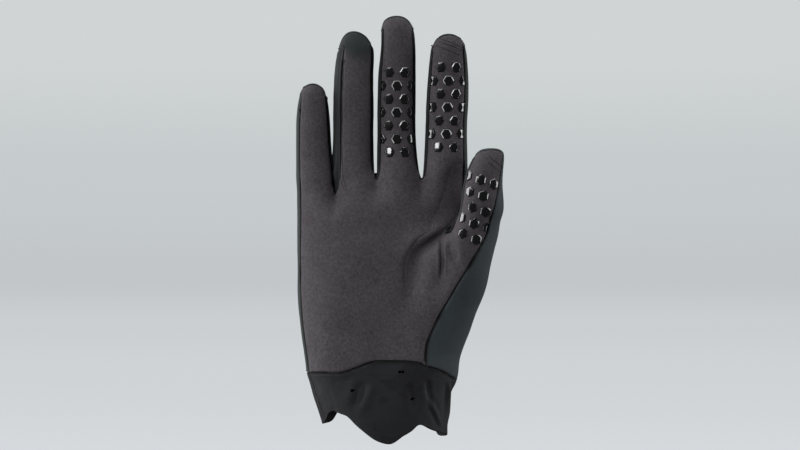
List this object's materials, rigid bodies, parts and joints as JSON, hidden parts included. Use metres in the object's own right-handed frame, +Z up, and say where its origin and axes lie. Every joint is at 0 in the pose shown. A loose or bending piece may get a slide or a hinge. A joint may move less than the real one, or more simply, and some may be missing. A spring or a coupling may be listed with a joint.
{
  "type": "long-fingered cycling glove",
  "caption": "Right-hand long-fingered cycling glove with a suede palm, stretch back, slip-on cuff and raised silicone grip hexagons on finger fronts, filled out as when worn.",
  "frame": {"origin": "middle of the wrist, level with the seam of palm and cuff", "axes": "+Z up to the fingertips, -Y out of the palm, +X to the thumb"},
  "size_m": [0.1123, 0.0484, 0.2306],
  "materials": {
    "suede": "matte suede nap",
    "stretch_back": "matte stretch knit",
    "thumb_fabric": "smooth stretch knit",
    "fourchette_fabric": "matte stretch knit",
    "cuff_fabric": "smooth stretch fabric with a faint tonal pattern",
    "silicone": "glossy silicone"
  },
  "bodies": {
    "root": {"palm_panel": "suede", "back_panel": "stretch_back", "thumb_outer_panel": "thumb_fabric", "thumb_gusset": "fourchette_fabric", "fourchette_pinky_ring": "fourchette_fabric", "fourchette_ring_middle": "fourchette_fabric", "fourchette_middle_index": "fourchette_fabric", "cuff_front": "cuff_fabric", "cuff_back": "cuff_fabric", "grip_middle_01": "silicone", "grip_middle_02": "silicone", "grip_middle_03": "silicone", "grip_middle_04": "silicone", "grip_middle_05": "silicone", "grip_middle_06": "silicone", "grip_middle_07": "silicone", "grip_middle_08": "silicone", "grip_middle_09": "silicone", "grip_middle_10": "silicone", "grip_middle_11": "silicone", "grip_middle_12": "silicone", "grip_middle_13": "silicone", "grip_middle_14": "silicone", "grip_middle_15": "silicone", "grip_middle_16": "silicone", "grip_middle_17": "silicone", "grip_index_01": "silicone", "grip_index_02": "silicone", "grip_index_03": "silicone", "grip_index_04": "silicone", "grip_index_05": "silicone", "grip_index_06": "silicone", "grip_index_07": "silicone", "grip_index_08": "silicone", "grip_index_09": "silicone", "grip_index_10": "silicone", "grip_index_11": "silicone", "grip_index_12": "silicone", "grip_index_13": "silicone", "grip_index_14": "silicone", "grip_index_15": "silicone", "grip_index_16": "silicone", "grip_index_17": "silicone", "grip_thumb_01": "silicone", "grip_thumb_02": "silicone", "grip_thumb_03": "silicone", "grip_thumb_04": "silicone", "grip_thumb_05": "silicone", "grip_thumb_06": "silicone", "grip_thumb_07": "silicone", "grip_thumb_08": "silicone", "grip_thumb_09": "silicone", "grip_thumb_10": "silicone", "grip_thumb_11": "silicone", "grip_thumb_12": "silicone"}
  },
  "joints": []
}
